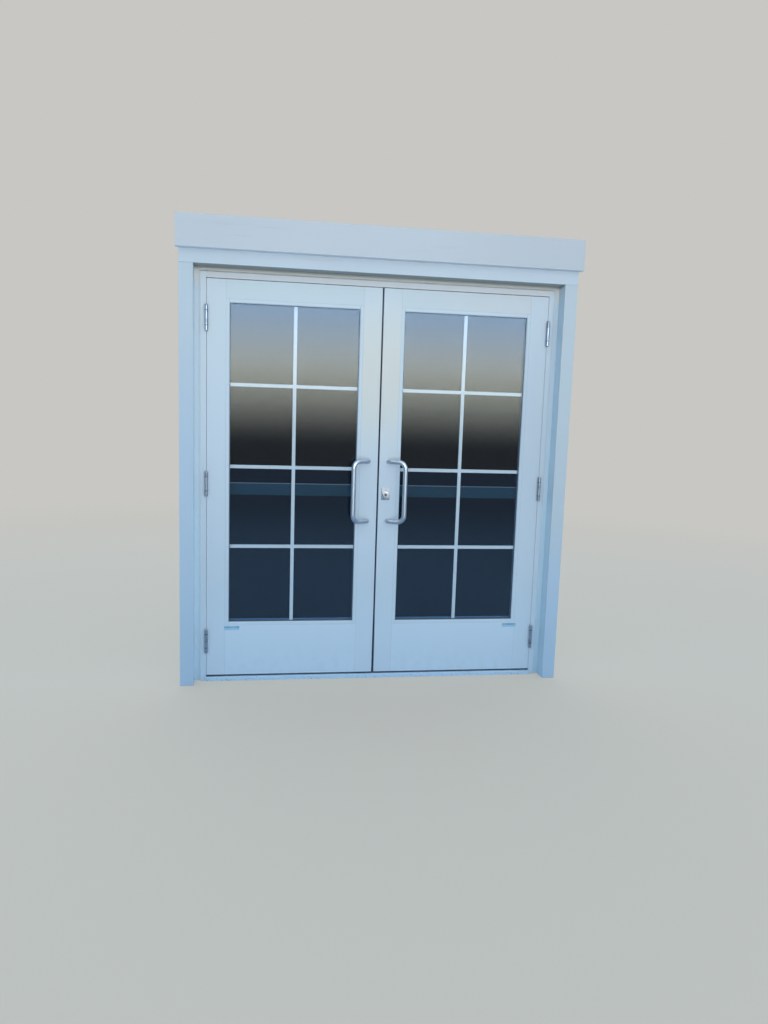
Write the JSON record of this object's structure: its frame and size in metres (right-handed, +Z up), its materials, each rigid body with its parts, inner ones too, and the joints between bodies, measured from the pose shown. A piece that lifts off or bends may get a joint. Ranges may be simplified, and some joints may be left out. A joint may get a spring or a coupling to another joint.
{
  "type": "glass door",
  "caption": "Double glazed entrance door in its frame: white metal leaves that swing outwards, bars between the panes, pull handles, touch bars inside, trim and threshold.",
  "frame": {"origin": "on the underside of the threshold, below the middle of the gap where the leaves meet, in the plane of the leaves' outer face", "axes": "+X to the right as seen from outside, +Y into the building, +Z up"},
  "size_m": [2.112, 0.226, 2.416],
  "materials": {
    "white_aluminium": "satin white powder coat",
    "white_trim": "matt white",
    "sill_aluminium": "satin white, worn a little by feet",
    "clear_glass": "clear and polished",
    "dark_glass": "dark and polished",
    "spacer": "matt dark grey",
    "white_bars": "satin white",
    "black_seal": "matt black",
    "grey_seal": "matt grey",
    "hinge_steel": "satin",
    "satin_steel": "fine satin",
    "lock_metal": "satin plated",
    "exit_metal": "anodised satin",
    "guide_plastic": "matt"
  },
  "bodies": {
    "frame": {"left_jamb": "white_aluminium", "right_jamb": "white_aluminium", "head_jamb": "white_aluminium", "threshold": "sill_aluminium", "frame_weatherstrip": "grey_seal", "return_trim": "white_trim", "left_casing": "white_trim", "right_casing": "white_trim", "head_casing": "white_trim", "header_board": "white_trim", "header_backer": "white_trim", "latch_strikes": "hinge_steel", "frame_hinge_leaves": "hinge_steel", "hinge_pins": "hinge_steel"},
    "left_touch_bar_body": {"left_touch_bar": "exit_metal"},
    "left_latch_rod_body": {"left_latch_rod": "hinge_steel"},
    "left_leaf": {"left_hinge_stile": "white_aluminium", "left_lock_stile": "white_aluminium", "left_top_rail": "white_aluminium", "left_bottom_rail": "white_aluminium", "left_door_sweep": "black_seal", "left_outer_stops": "white_aluminium", "left_inner_stops": "white_aluminium", "left_outer_pane": "clear_glass", "left_inner_pane": "dark_glass", "left_pane_spacer": "spacer", "left_grille": "white_bars", "left_setting_blocks": "black_seal", "left_hinge_leaves": "hinge_steel", "left_pull": "satin_steel", "left_pull_bolts": "satin_steel", "left_exit_case": "exit_metal", "left_exit_rail": "exit_metal", "left_exit_end_cap": "exit_metal", "left_latch_guide": "guide_plastic", "meeting_seal": "black_seal"},
    "right_touch_bar_body": {"right_touch_bar": "exit_metal"},
    "right_latch_rod_body": {"right_latch_rod": "hinge_steel"},
    "right_leaf": {"right_hinge_stile": "white_aluminium", "right_lock_stile": "white_aluminium", "right_top_rail": "white_aluminium", "right_bottom_rail": "white_aluminium", "right_door_sweep": "black_seal", "right_outer_stops": "white_aluminium", "right_inner_stops": "white_aluminium", "right_outer_pane": "clear_glass", "right_inner_pane": "dark_glass", "right_pane_spacer": "spacer", "right_grille": "white_bars", "right_setting_blocks": "black_seal", "right_hinge_leaves": "hinge_steel", "right_pull": "satin_steel", "right_pull_bolts": "satin_steel", "right_exit_case": "exit_metal", "right_exit_rail": "exit_metal", "right_exit_end_cap": "exit_metal", "right_latch_guide": "guide_plastic", "lock_plate": "lock_metal", "key_cylinder": "lock_metal"},
    "key_plug_body": {"key_plug": "lock_metal"}
  },
  "joints": [
    {"name": "left_leaf_swing", "type": "hinge", "parent": "frame", "child": "left_leaf", "pos_m": [-0.9125, -0.0095, 0], "axis": [0, 0, -1], "range_deg": [0, 110]},
    {"name": "left_touch_bar_press", "type": "slide", "parent": "left_leaf", "child": "left_touch_bar_body", "axis": [0, 1, 0], "range_m": [0, 0.015]},
    {"name": "left_latch_rod_lift", "type": "slide", "parent": "left_leaf", "child": "left_latch_rod_body", "axis": [0, 0, 1], "range_m": [0, 0.015]},
    {"name": "right_leaf_swing", "type": "hinge", "parent": "frame", "child": "right_leaf", "pos_m": [0.9125, -0.0095, 0], "axis": [0, 0, 1], "range_deg": [0, 110]},
    {"name": "right_touch_bar_press", "type": "slide", "parent": "right_leaf", "child": "right_touch_bar_body", "axis": [0, 1, 0], "range_m": [0, 0.015]},
    {"name": "right_latch_rod_lift", "type": "slide", "parent": "right_leaf", "child": "right_latch_rod_body", "axis": [0, 0, 1], "range_m": [0, 0.015]},
    {"name": "key_turn", "type": "hinge", "parent": "right_leaf", "child": "key_plug_body", "pos_m": [0.043, -0.014, 1.033], "axis": [0, -1, 0], "range_deg": [0, 90]}
  ],
  "couplings": [
    {"joint": "left_latch_rod_lift", "follows": "left_touch_bar_press", "ratio": 1},
    {"joint": "right_latch_rod_lift", "follows": "right_touch_bar_press", "ratio": 1}
  ]
}
